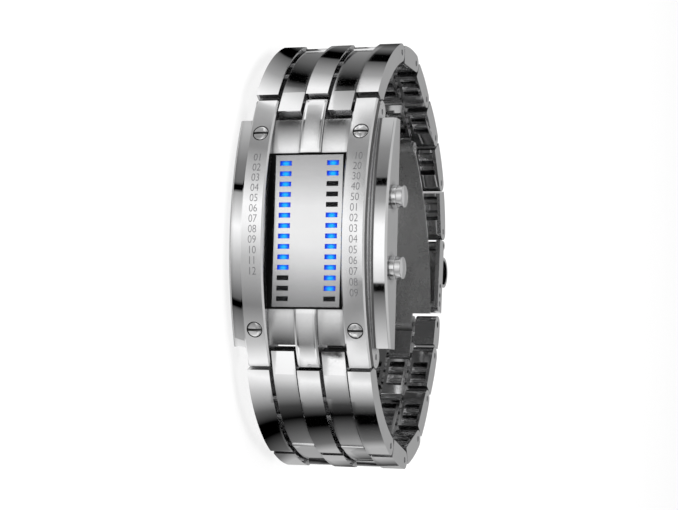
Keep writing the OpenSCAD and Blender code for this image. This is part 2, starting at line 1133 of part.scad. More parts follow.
case();
case_back();
gasket();
back_screws();
module_frame();
led_board();
lights_hours();
lights_minutes();
mirror_mask();
crystal();
end_panel_12();
end_panel_6();
centre_bar_12();
centre_bar_6();
side_plate(-1);  // plate_left
side_plate(1);  // plate_right
plate_screw(-1, -1);  // plate_screw_1
plate_screw(-1, 1);  // plate_screw_2
plate_screw(1, -1);  // plate_screw_3
plate_screw(1, 1);  // plate_screw_4
guard_left();
guard_right();
cell(-1);  // cell_12
cell(1);  // cell_6
button_tube(-1);  // button_tube_upper
button_tube(1);  // button_tube_lower
button(-1);  // button_upper
button(1);  // button_lower
link_pin([-lug[0], lug[1]]);  // lug_pin_12
link_pin(lug);  // lug_pin_6
link_at_12(1);  // link_12_1
link_at_12(2);  // link_12_2
link_at_12(3);  // link_12_3
link_at_12(4);  // link_12_4
link_at_12(5);  // link_12_5
link_at_12(6);  // link_12_6
link_pin([-pins_12[1][0], pins_12[1][1]]);  // pin_12_1
link_pin([-pins_12[2][0], pins_12[2][1]]);  // pin_12_2
link_pin([-pins_12[3][0], pins_12[3][1]]);  // pin_12_3
link_pin([-pins_12[4][0], pins_12[4][1]]);  // pin_12_4
link_pin([-pins_12[5][0], pins_12[5][1]]);  // pin_12_5
link_pin(cover_at);  // pin_12_6
link_at_6(1);  // link_6_1
link_at_6(2);  // link_6_2
link_at_6(3);  // link_6_3
link_at_6(4);  // link_6_4
link_at_6(5);  // link_6_5
link_at_6(6);  // link_6_6
link_pin(pins_6[1]);  // pin_6_1
link_pin(pins_6[2]);  // pin_6_2
link_pin(pins_6[3]);  // pin_6_3
link_pin(pins_6[4]);  // pin_6_4
link_pin(pins_6[5]);  // pin_6_5
clasp_cover();
cover_pin();
blade_middle();
blade_end();
spring_bar();
safety_flap();
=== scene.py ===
"""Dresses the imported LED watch: steel finishes, lit display, engraved numerals, studio and camera."""

import logging
import math
from dataclasses import dataclass, field
from enum import Enum
from typing import Any, Optional, Sequence

import bmesh
import bpy
from mathutils import Matrix, Vector


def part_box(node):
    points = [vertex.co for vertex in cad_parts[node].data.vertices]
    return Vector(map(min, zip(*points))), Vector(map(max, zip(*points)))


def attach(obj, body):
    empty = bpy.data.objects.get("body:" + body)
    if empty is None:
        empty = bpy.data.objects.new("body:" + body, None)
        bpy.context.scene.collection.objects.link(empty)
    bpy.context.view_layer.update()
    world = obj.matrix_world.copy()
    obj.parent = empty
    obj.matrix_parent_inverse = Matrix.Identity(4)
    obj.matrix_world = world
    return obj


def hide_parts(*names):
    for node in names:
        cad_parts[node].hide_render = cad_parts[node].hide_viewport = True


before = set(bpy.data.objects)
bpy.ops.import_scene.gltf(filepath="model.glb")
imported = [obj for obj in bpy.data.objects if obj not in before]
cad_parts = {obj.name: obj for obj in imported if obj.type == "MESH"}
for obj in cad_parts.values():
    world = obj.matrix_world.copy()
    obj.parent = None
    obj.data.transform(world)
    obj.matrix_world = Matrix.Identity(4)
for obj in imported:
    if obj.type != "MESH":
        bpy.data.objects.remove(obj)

# One millimetre in metres, and sizes of the CAD model in millimetres: the radius of the plates' faces, their
# screws from the head's middle along and across the band, the step of the rows, and the light columns' place
MM = 0.001
FRONT_R = 46.35
SCREW_X = 16.8
PLATE_Z = 8.935
ROW_PITCH = 1.77
COLUMN_Z = 4.2

LOG = logging.getLogger("watch")
Colour = tuple[float, float, float]


class Grain(Enum):
    """Run of a steel's grain, as its stretch on the three axes."""

    ALONG = (1.0, 26.0, 26.0)
    NONE = (1.0, 1.0, 1.0)


class Val:
    """A shader socket that takes part in Python arithmetic."""

    def __init__(self, tree: "Nodes", socket: Any) -> None:
        """Wraps a socket of a tree."""
        self.tree = tree
        self.socket = socket

    def _math(self, operation: str, *values: Any) -> "Val":
        """Adds one Math node.

        Args:
            operation: name of the Math operation.
            values: wrapped sockets or numbers.

        Returns:
            The node's output.
        """
        return self.tree.node("ShaderNodeMath", {"operation": operation}, dict(enumerate(values)))

    def __add__(self, other: Any) -> "Val":
        """Sum."""
        return self._math("ADD", self, other)

    def __sub__(self, other: Any) -> "Val":
        """Difference."""
        return self._math("SUBTRACT", self, other)

    def __rsub__(self, other: Any) -> "Val":
        """Reflected difference."""
        return self._math("SUBTRACT", other, self)

    def __mul__(self, other: Any) -> "Val":
        """Product."""
        return self._math("MULTIPLY", self, other)

    def __truediv__(self, other: Any) -> "Val":
        """Quotient."""
        return self._math("DIVIDE", self, other)

    def __gt__(self, other: Any) -> "Val":
        """1 where greater."""
        return self._math("GREATER_THAN", self, other)

    def __lt__(self, other: Any) -> "Val":
        """1 where less."""
        return self._math("LESS_THAN", self, other)

    __radd__ = __add__
    __rmul__ = __mul__

    def abs(self) -> "Val":
        """Absolute value."""
        return self._math("ABSOLUTE", self)

    def power(self, exponent: float) -> "Val":
        """Power."""
        return self._math("POWER", self, exponent)

    def fract(self) -> "Val":
        """Fractional part."""
        return self._math("FRACT", self)

    def clamp(self) -> "Val":
        """Limited to 0..1."""
        return self.tree.node("ShaderNodeClamp", {}, {0: self})

    def at_least(self, other: Any) -> "Val":
        """Larger of two."""
        return self._math("MAXIMUM", self, other)

    def heading(self, other: Any) -> "Val":
        """Angle of the point (other, self) in radians."""
        return self._math("ARCTAN2", self, other)


class Nodes:
    """The node tree of a material or world, with one way to add a node."""

    def __init__(self, owner: Any) -> None:
        """Takes the tree of a material or world.

        Args:
            owner: the material or world.
        """
        owner.use_nodes = True
        self.nodes = owner.node_tree.nodes
        self.links = owner.node_tree.links

    def node(self, kind: str, settings: dict[str, Any], inputs: dict[Any, Any], out: Any = 0) -> Val:
        """Adds a node.

        Args:
            kind: the node's type.
            settings: attributes, set before the sockets; "stops" fills a colour ramp.
            inputs: values or links by socket name or number.
            out: name or number of the output that is returned.

        Returns:
            The wrapped output.
        """
        made = self.nodes.new(kind)
        for key, value in settings.items():
            if key == "stops":
                self._fill_ramp(made.color_ramp, value)
            else:
                setattr(made, key, value)
        for key, value in inputs.items():
            self.put(made.inputs[key], value)
        return Val(self, made.outputs[out])

    @staticmethod
    def _fill_ramp(ramp: Any, stops: Sequence[tuple[float, Colour]]) -> None:
        """Writes a ramp's stops.

        Args:
            ramp: the ramp.
            stops: (position, colour) pairs.
        """
        while len(ramp.elements) < len(stops):
            ramp.elements.new(1.0)
        for element, (position, colour) in zip(ramp.elements, stops):
            element.position = position
            element.color = (*colour, 1.0)

    def put(self, socket: Any, value: Any) -> None:
        """Links or sets a socket.

        Args:
            socket: the input.
            value: a wrapped socket, a number, or a colour or vector.
        """
        if isinstance(value, Val):
            self.links.new(value.socket, socket)
        elif isinstance(value, tuple) and len(value) == 3 and len(socket.default_value) == 4:
            socket.default_value = (*value, 1.0)
        else:
            socket.default_value = value

    def seen(self) -> Val:
        """Tells the rays that see a white background from those that light the watch.

        Returns:
            1 for camera, glossy and transmission rays, 0 for others.
        """
        rays = self.node("ShaderNodeLightPath", {}, {}).socket.node.outputs
        camera, glossy, through = (Val(self, rays[f"Is {kind} Ray"]) for kind in ("Camera", "Glossy", "Transmission"))
        return camera.at_least(glossy).at_least(through)


class Tree(Nodes):
    """A material's node tree, with the patterns that its finish is made of."""

    def __init__(self, name: str) -> None:
        """Starts a material with a Principled shader.

        Args:
            name: the material's name.
        """
        self.material = bpy.data.materials.new(name)
        super().__init__(self.material)
        self.shader = self.nodes["Principled BSDF"]
        self.output = self.nodes["Material Output"]

    def set(self, **values: Any) -> None:
        """Puts values on the Principled shader; underscores stand for blanks in socket names."""
        for key, value in values.items():
            self.put(self.shader.inputs[key.replace("_", " ")], value)

    def place(self) -> Val:
        """Object coordinates."""
        return self.node("ShaderNodeTexCoord", {}, {}, "Object")

    def axes(self) -> tuple[Val, Val, Val]:
        """Object coordinates, one value an axis.

        Returns:
            X, Y and Z.
        """
        return self.split(self.place())

    def split(self, vector: Val) -> tuple[Val, Val, Val]:
        """Takes a vector apart.

        Args:
            vector: the vector.

        Returns:
            Its three values.
        """
        made = self.node("ShaderNodeSeparateXYZ", {}, {0: vector}).socket.node
        return Val(self, made.outputs[0]), Val(self, made.outputs[1]), Val(self, made.outputs[2])

    def noise(self, scale: float, detail: float = 3.0, stretch: Sequence[float] = (1.0, 1.0, 1.0),
              roughness: float = 0.5) -> Val:
        """Noise on Object coordinates.

        Args:
            scale: turns per metre.
            detail: octaves.
            stretch: factors on the three axes.
            roughness: weight of the fine octaves.

        Returns:
            The noise value.
        """
        place = self.node("ShaderNodeMapping", {}, {"Vector": self.place(), "Scale": tuple(stretch)})
        return self.node("ShaderNodeTexNoise", {},
                         {"Vector": place, "Scale": scale, "Detail": detail, "Roughness": roughness})

    def mix(self, factor: Any, a: Any, b: Any) -> Val:
        """Mixes two colours.

        Args:
            factor: 0 for a, 1 for b.
            a: first colour.
            b: second colour.

        Returns:
            The mixed colour.
        """
        made = self.node("ShaderNodeMix", {"data_type": "RGBA"}, {"Factor": factor}).socket.node
        colours = [socket for socket in made.inputs if socket.type == "RGBA"]
        self.put(colours[0], a)
        self.put(colours[1], b)
        return Val(self, next(socket for socket in made.outputs if socket.type == "RGBA"))

    def trued(self, slight: float = 0.15, gain: float = 5.0) -> Val:
        """Normal without the slight lean across the band that smooth shading leaves on a face.

        Args:
            slight: lean up to which the normal is set upright.
            gain: how fast a stronger lean counts in full.

        Returns:
            The normal.
        """
        normal = self.node("ShaderNodeNewGeometry", {}, {}, "Normal")
        _, _, lean = self.split(normal)
        kept = ((lean.abs() - slight) * gain).clamp()
        share = self.node("ShaderNodeCombineXYZ", {}, {0: 1.0, 1: 1.0, 2: kept})
        scaled = self.node("ShaderNodeVectorMath", {"operation": "MULTIPLY"}, {0: normal, 1: share})
        return self.node("ShaderNodeVectorMath", {"operation": "NORMALIZE"}, {0: scaled})

    def on_arc(self, centre_x: float, centre_y: float, radius: float, other: Val, skin: float = 0.01 * MM) -> Val:
        """Normal of a round face about an axis along Z, used only where the surface lies on that face.

        Args:
            centre_x: the axis's place, in metres.
            centre_y: the axis's place, in metres.
            radius: the face's radius, in metres.
            other: the normal elsewhere.
            skin: how far off the face a point still counts as on it, in metres.

        Returns:
            The normal.
        """
        x, y, _ = self.axes()
        across, along = x - centre_x, y - centre_y
        off = ((across * across + along * along).power(0.5) - radius).abs()
        spoke = self.node("ShaderNodeCombineXYZ", {}, {0: across, 1: along, 2: 0.0})
        true = self.node("ShaderNodeVectorMath", {"operation": "NORMALIZE"}, {0: spoke})
        return self.mix(off < skin, other, true)

    def bump(self, height: Val, distance: float, base: Optional[Val] = None) -> Val:
        """Bump from a height.

        Args:
            height: the height value.
            distance: height of 1, in metres.
            base: the normal that is bumped.

        Returns:
            The normal.
        """
        inputs: dict[str, Any] = {"Height": height, "Distance": distance, "Strength": 1.0}
        if base is not None:
            inputs["Normal"] = base
        return self.node("ShaderNodeBump", {}, inputs)


@dataclass(frozen=True)
class PaintedShade:
    """Painted shade on a piece: a box, or a round hole along Y, in the piece's own space, darkened as if shade fell
    in it.

    The centre is in metres, the half sizes in millimetres, the turn about Z in radians, and the tone is how bright
    the painted shade leaves the place.
    """

    centre: tuple[float, float, float]
    half: tuple[float, float, float]
    turn: float = 0.0
    is_round: bool = False
    tone: float = 0.008

    def mask(self, tree: Tree) -> Val:
        """Finds the place.

        Args:
            tree: the material's tree.

        Returns:
            1 inside the place, 0 outside.
        """
        local = tree.node("ShaderNodeMapping", {"vector_type": "TEXTURE"}, {
            "Vector": tree.place(), "Location": self.centre, "Rotation": (0.0, 0.0, self.turn),
            "Scale": tuple(size * MM for size in self.half)})
        x, y, z = tree.split(local)
        if self.is_round:
            return (x * x + z * z) < 1.0
        return x.abs().at_least(y.abs()).at_least(z.abs()) < 1.0


@dataclass(frozen=True)
class Steel:
    """Stainless steel with a grain, faint handling marks, grime with painted shade in its crevices, and painted shade
    in given hollows.

    Scales are in turns per metre, depth and reach in millimetres. The arc is a round face's centre X, centre Y
    and radius in metres.
    """

    name: str
    colour: Colour = (0.86, 0.86, 0.865)
    roughness: float = 0.16
    grain: Grain = Grain.NONE
    grain_depth: float = 0.0
    brushed_scale: float = 900.0
    plain_scale: float = 2600.0
    grain_tone: float = 0.35
    grain_rough: float = 0.1
    smudge_scale: float = 160.0
    fine_scale: float = 1500.0
    fine_rough: float = 0.02
    worn_from: float = 0.42
    worn_gain: float = 3.0
    worn_tone: float = 0.25
    shaded: float = 0.9
    marks: float = 0.05
    dirt_and_shade: float = 0.55
    dirt_and_shade_reach: float = 1.0
    dirt_and_shade_gain: float = 1.5
    dirt_and_shade_patchy: float = 0.3
    dirt_rough: float = 0.15
    dirt_and_shade_colour: Colour = (0.03, 0.03, 0.032)
    painted_shades: tuple[PaintedShade, ...] = ()
    recess_rough: float = 0.3
    is_trued: bool = False
    arc: Optional[tuple[float, float, float]] = None

    def build(self) -> bpy.types.Material:
        """Makes the material.

        Returns:
            The material.
        """
        tree = Tree(self.name)
        scale = self.plain_scale if self.grain is Grain.NONE else self.brushed_scale
        grain = tree.noise(scale, 2.0, self.grain.value)
        smudge = tree.noise(self.smudge_scale)
        fine = tree.noise(self.fine_scale, 2.0)
        worn = ((smudge - self.worn_from) * self.worn_gain).clamp()
        tone = tree.mix((grain - 0.5) * self.grain_tone + worn * self.worn_tone, self.colour,
                        tuple(c * self.shaded for c in self.colour))
        rough = (grain - 0.5) * self.grain_rough + worn * self.marks + self.roughness
        rough = rough + (fine - 0.5) * self.fine_rough
        # Grime and painted shade: the metal turns dark where ambient occlusion finds it closed in, where shade would
        # fall.
        if self.dirt_and_shade > 0.0:
            open_air = tree.node("ShaderNodeAmbientOcclusion", {"samples": 6},
                                 {"Distance": self.dirt_and_shade_reach * MM}, "AO")
            dirt_and_shade_mask = ((1.0 - open_air) * self.dirt_and_shade_gain + (smudge - 0.5) * self.dirt_and_shade_patchy).clamp()
            tone = tree.mix(dirt_and_shade_mask * self.dirt_and_shade, tone, self.dirt_and_shade_colour)
            rough = rough + dirt_and_shade_mask * self.dirt_rough
        # Painted shade: each listed hollow is darkened to its tone, as shade in it would be.
        for level in sorted({recess.tone for recess in self.painted_shades}):
            dark: Any = 0.0
            for recess in self.painted_shades:
                if recess.tone == level:
                    dark = recess.mask(tree) + dark
            tone = tree.mix(dark.clamp(), tone, (level, level, level))
            rough = rough + dark.clamp() * self.recess_rough
        tree.set(Base_Color=tone, Metallic=1.0, Roughness=rough.clamp())
        base = tree.trued() if self.is_trued else None
        if self.arc is not None:
            base = tree.on_arc(*self.arc, base)
        if self.grain_depth > 0.0:
            tree.set(Normal=tree.bump(grain, self.grain_depth * MM, base))
        elif base is not None:
            tree.set(Normal=base)
        return tree.material


@dataclass(frozen=True)
class Moulded:
    """Plastic, rubber or coated board with a fine texture, whose depth is in millimetres."""

    name: str
    colour: Colour
    roughness: float = 0.5
    texture: float = 0.004
    speck_scale: float = 2400.0
    speck_tone: float = 0.5
    patch_scale: float = 220.0
    patch_tone: float = 0.3
    patch_rough: float = 0.2
    lighter: float = 1.5
    lift: float = 0.01

    def build(self) -> bpy.types.Material:
        """Makes the material.

        Returns:
            The material.
        """
        tree = Tree(self.name)
        speck = tree.noise(self.speck_scale)
        patch = tree.noise(self.patch_scale, 2.0)
        tone = tree.mix(speck * self.speck_tone + patch * self.patch_tone, self.colour,
                        tuple(min(1.0, c * self.lighter + self.lift) for c in self.colour))
        tree.set(Base_Color=tone, Roughness=(patch - 0.5) * self.patch_rough + self.roughness,
                 Normal=tree.bump(speck, self.texture * MM))
        return tree.material


@dataclass(frozen=True)
class WatchGlass:
    """Thin clear flat glass: all but transparent, with a faint smear in its gloss."""

    name: str = "watch_glass"
    colour: Colour = (0.03, 0.035, 0.04)
    index: float = 1.47
    roughness: float = 0.03
    cover: float = 0.05
    smear_scale: float = 120.0
    smear_rough: float = 0.06
    smear_cover: float = 0.03

    def build(self) -> bpy.types.Material:
        """Makes the material.

        Returns:
            The material.
        """
        tree = Tree(self.name)
        smear = tree.noise(self.smear_scale)
        tree.set(Base_Color=self.colour, IOR=self.index,
                 Roughness=((smear - 0.5) * self.smear_rough + self.roughness).clamp(),
                 Alpha=(smear - 0.5) * self.smear_cover + self.cover)
        return tree.material


@dataclass(frozen=True)
class SatinMask:
    """Satin silver mask with a painted reflection: its brushed face is painted white in the middle and grey at both
    ends.
    """

    name: str
    middle_x: float
    half_l: float = 12.9
    reflection_greys: tuple[tuple[float, float], ...] = (
        (0.0, 0.46), (0.14, 0.62), (0.34, 0.95), (0.5, 1.0), (0.6, 0.98), (0.72, 0.82), (0.86, 0.52), (1.0, 0.3))
    coolness: float = 0.005
    grain_scale: float = 1400.0
    grain_stretch: tuple[float, float, float] = (1.0, 8.0, 20.0)
    grain_tone: float = 0.12
    grain_colour: Colour = (0.5, 0.5, 0.5)
    grain_rough: float = 0.08
    roughness: float = 0.24

    def build(self) -> bpy.types.Material:
        """Makes the material.

        Returns:
            The material.
        """
        tree = Tree(self.name)
        x, _, _ = tree.axes()
        grain = tree.noise(self.grain_scale, 4.0, self.grain_stretch, 0.6)
        along = (x - self.middle_x) / (2 * self.half_l * MM) + 0.5
        # Painted reflection: greys along the mask, white in the middle and grey at both ends, stand for the light it
        # mirrors.
        stops = [(place, (grey, grey, min(1.0, grey + self.coolness))) for place, grey in self.reflection_greys]
        painted_reflection = tree.node("ShaderNodeValToRGB", {"stops": stops}, {0: along})
        tree.set(Base_Color=tree.mix(grain * self.grain_tone, painted_reflection, self.grain_colour), Metallic=1.0,
                 Roughness=(grain - 0.5) * self.grain_rough + self.roughness)
        return tree.material


@dataclass(frozen=True)
class LightBlocks:
    """Light blocks of a column: lit rows glow from cyan in the middle to deep blue at the rim.

    The middle is in metres, other sizes in millimetres. Rows count from 1 at the 12 o'clock end.
    """

    name: str
    middle_x: float
    middle_z: float
    lit: tuple[tuple[int, int], ...]
    rows: int = 14
    half_w: float = 1.05
    half_h: float = 0.42
    fade_across: float = 0.95
    fade_along: float = 0.28
    hot_spot: float = 0.2
    rim_to_middle: tuple[tuple[float, Colour], ...] = (
        (0.0, (0.0, 0.01, 0.55)), (0.35, (0.0, 0.05, 0.85)), (0.7, (0.0, 0.19, 0.98)), (1.0, (0.01, 0.55, 1.0)))
    dark: Colour = (0.001, 0.001, 0.0015)
    lit_base: Colour = (0.0, 0.01, 0.06)
    gloss: float = 0.15

    def build(self) -> bpy.types.Material:
        """Makes the material.

        Returns:
            The material.
        """
        tree = Tree(self.name)
        x, _, z = tree.axes()
        row = (x - self.middle_x) / (ROW_PITCH * MM) + (self.rows + 1) / 2
        across = ((z - self.middle_z) / (self.half_w * MM)).abs()
        along = ((row + 0.5).fract() - 0.5) * (ROW_PITCH / self.half_h)
        fade = across.power(2.0) * self.fade_across + (along - self.hot_spot).abs().power(2.0) * self.fade_along
        glow = (1.0 - fade).clamp()
        on: Any = 0.0
        for first, last in self.lit:
            span = (row > first - 0.5) * (row < last + 0.5)
            on = span + on
        colour = tree.node("ShaderNodeValToRGB", {"stops": self.rim_to_middle}, {0: glow})
        tree.set(Base_Color=tree.mix(on, self.dark, self.lit_base), Roughness=0.5, Specular_IOR_Level=self.gloss,
                 Emission_Color=tree.mix(on, (0.0, 0.0, 0.0), colour), Emission_Strength=1.0)
        return tree.material


@dataclass
class Finishes:
    """All finishes of the watch, made once."""

    made: dict[str, bpy.types.Material] = field(default_factory=dict)

    def add(self, *finishes: Any) -> None:
        """Builds finishes and keeps each under its name."""
        for finish in finishes:
            self.made[finish.name] = finish.build()

    def wear(self, obj: bpy.types.Object, name: str) -> None:
        """Gives a whole object one finish.

        Args:
            obj: CAD node or piece.
            name: name of the finish.
        """
        obj.data.materials.clear()
        obj.data.materials.append(self.made[name])


def made_of(name: str, shell: bmesh.types.BMesh) -> bpy.types.Object:
    """Turns a bmesh into an object of the scene and frees it.

    Args:
        name: name of the object and of its mesh.
        shell: the bmesh.

    Returns:
        The object.
    """
    mesh = bpy.data.meshes.new(name)
    shell.to_mesh(mesh)
    shell.free()
    made = bpy.data.objects.new(name, mesh)
    bpy.context.scene.collection.objects.link(made)
    return made


def smooth_group() -> bpy.types.NodeTree:
    """Makes the node group that shades a welded mesh smooth, once.

    Returns:
        The group.
    """
    group = bpy.data.node_groups.get("soft_shade")
    if group is None:
        group = bpy.data.node_groups.new("soft_shade", "GeometryNodeTree")
        for way in ("INPUT", "OUTPUT"):
            group.interface.new_socket("Geometry", in_out=way, socket_type="NodeSocketGeometry")
        start = group.nodes.new("NodeGroupInput")
        shade = group.nodes.new("GeometryNodeSetShadeSmooth")
        end = group.nodes.new("NodeGroupOutput")
        group.links.new(start.outputs[0], shade.inputs[0])
        group.links.new(shade.outputs[0], end.inputs[0])
    return group


def soften(obj: bpy.types.Object, width: float, weld_gap: float = 0.002, flat_angle: float = 0.3,
           edge_angle: float = 32.0, face_weight: int = 80) -> None:
    """Rounds a CAD node's sharp edges with modifiers only.

    Args:
        obj: the node's object.
        width: width of the rounding in millimetres.
        weld_gap: gap between corners that are one, in millimetres.
        flat_angle: angle in degrees up to which triangles make one face.
        edge_angle: angle in degrees from which an edge is sharp.
        face_weight: how much a large face draws its corners' normals to its own.
    """
    weld = obj.modifiers.new("weld", "WELD")
    weld.merge_threshold = weld_gap * MM
    flat = obj.modifiers.new("flat", "DECIMATE")
    flat.decimate_type = "DISSOLVE"
    flat.angle_limit = math.radians(flat_angle)
    shade = obj.modifiers.new("shade", "NODES")
    shade.node_group = smooth_group()
    edge = obj.modifiers.new("edge", "BEVEL")
    edge.width = width * MM
    edge.segments = 2
    edge.limit_method = "ANGLE"
    edge.angle_limit = math.radians(edge_angle)
    edge.use_clamp_overlap = True
    even = obj.modifiers.new("even", "WEIGHTED_NORMAL")
    even.keep_sharp = True
    even.weight = face_weight


@dataclass
class Head:
    """Case, plates, panels, bars and guards."""

    finishes: Finishes
    brushed: tuple[str, ...] = ("case", "case_back")
    plates: tuple[str, ...] = ("plate_left", "plate_right")
    guards: tuple[str, ...] = ("guard_left", "guard_right")
    polished: tuple[str, ...] = ("end_panel_12", "end_panel_6", "centre_bar_12", "centre_bar_6", "back_screws")
    rounded: tuple[str, ...] = plates + guards + ("centre_bar_12", "centre_bar_6", "case_back")
    edge: float = 0.12
    screw_edge: float = 0.06

    def dress(self) -> None:
        """Gives the head's nodes their finishes and soft edges."""
        for names, finish in ((self.brushed, "case_steel"), (self.plates, "plate_steel"),
                              (self.guards, "guard_steel"), (self.polished, "bright_steel")):
            for name in names:
                self.finishes.wear(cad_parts[name], finish)
                LOG.info("dressed %s with %s", name, finish)
        for name in self.rounded:
            soften(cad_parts[name], self.edge)
        for number in range(1, 5):
            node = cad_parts[f"plate_screw_{number}"]
            self.finishes.wear(node, "screw_steel")
            soften(node, self.screw_edge)


@dataclass
class Display:
    """Mirror, glass, lights and the works behind them."""

    finishes: Finishes
    clear: float = 0.03
    chamfer: float = 0.12

    def dress(self) -> None:
        """Gives the display's nodes their finishes."""
        for name, finish in (("mirror_mask", "satin_mask"), ("crystal", "watch_glass"),
                             ("lights_hours", "hour_lights"), ("lights_minutes", "minute_lights"),
                             ("led_board", "board_coat"), ("module_frame", "black_plastic"),
                             ("gasket", "black_rubber"), ("cell_12", "cell_steel"), ("cell_6", "cell_steel")):
            self.finishes.wear(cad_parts[name], finish)
            LOG.info("dressed %s with %s", name, finish)

    def glaze(self) -> None:
        """Makes the bevelled pane that stands for the glass, a hair clear of the mask behind it."""
        low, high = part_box("crystal")
        high.y -= self.clear * MM
        shell = bmesh.new()
        bmesh.ops.create_cube(shell, size=1.0)
        for vert in shell.verts:
            vert.co = Vector((low[i] if vert.co[i] < 0 else high[i]) for i in range(3))
        bmesh.ops.bevel(shell, geom=shell.edges[:], offset=self.chamfer * MM, affect="EDGES", segments=2,
                        profile=0.5, material=-1)
        bmesh.ops.recalc_face_normals(shell, faces=shell.faces[:])
        pane = made_of("glass_pane", shell)
        self.finishes.wear(pane, "watch_glass")
        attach(pane, "head")
        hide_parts("crystal")
        LOG.info("built %s", pane.name)


@dataclass
class Numerals:
    """Columns of plain engraved numerals on the two side plates.

    middle_x and axis_y, the place of the plates' axis, are in metres, other sizes in millimetres.
    """

    finishes: Finishes
    middle_x: float
    axis_y: float
    first_row: float = 6.5
    lead: float = 0.87
    height: float = 1.12
    font_size: float = 1.42
    spacing: float = 0.98
    stretch: float = 1.2
    shift: float = 0.18
    depth: float = 0.012
    proud: float = 0.3
    thin: float = 0.02
    hours: tuple[str, ...] = tuple(f"{n:02d}" for n in range(1, 13))
    minutes: tuple[str, ...] = ("10", "20", "30", "40", "50") + tuple(f"{n:02d}" for n in range(1, 10))

    def _label(self, text: str, x: float, z: float) -> bpy.types.Mesh:
        """Makes one numeral as a thin inlay on the plate's arched face.

        Args:
            text: the digits.
            x: place along the head from its middle, in millimetres.
            z: height of the label's middle, in metres.

        Returns:
            The inlay's mesh, in its place.
        """
        curve = bpy.data.curves.new("digits", "FONT")
        curve.body = text
        curve.size = self.height * self.font_size * MM
        curve.align_x = "CENTER"
        curve.align_y = "CENTER"
        curve.space_character = self.spacing
        curve.extrude = self.depth / 2 * MM
        curve.offset = -self.thin * MM
        curve.resolution_u = 3
        source = bpy.data.objects.new("digits", curve)
        bpy.context.scene.collection.objects.link(source)
        bpy.context.view_layer.update()
        mesh = bpy.data.meshes.new_from_object(source.evaluated_get(bpy.context.evaluated_depsgraph_get()))
        bpy.data.objects.remove(source)
        angle = math.asin(x / FRONT_R)
        reach = (FRONT_R + self.depth * self.proud) * MM
        spot = Vector((self.middle_x + reach * math.sin(angle), self.axis_y - reach * math.cos(angle), z))
        turn = Matrix(((0, -1, 0), (0, 0, -1), (1, 0, 0))).to_4x4()
        tall = Matrix.Diagonal((1.0, self.stretch, 1.0, 1.0))
        mesh.transform(Matrix.Translation(spot) @ Matrix.Rotation(angle, 4, "Z") @ turn @ tall)
        return mesh

    def _column(self, side: str, labels: tuple[str, ...], z: float) -> None:
        """Makes a column of labels as one piece.

        Args:
            side: word for the piece's name.
            labels: digits from 12 o'clock down.
            z: height of the column's middle, in metres.
        """
        joined = bmesh.new()
        for number, text in enumerate(labels):
            joined.from_mesh(self._label(text, (number - self.first_row) * ROW_PITCH - self.lead, z))
        piece = made_of(f"numerals_{side}", joined)
        self.finishes.wear(piece, "engraving")
        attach(piece, "head")
        LOG.info("built %s", piece.name)

    def build(self) -> None:
        """Makes both columns."""
        for side, labels, plate in (("hours", self.hours, "plate_left"), ("minutes", self.minutes, "plate_right")):
            low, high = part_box(plate)
            self._column(side, labels, (low[2] + high[2]) / 2 + self.shift * MM)


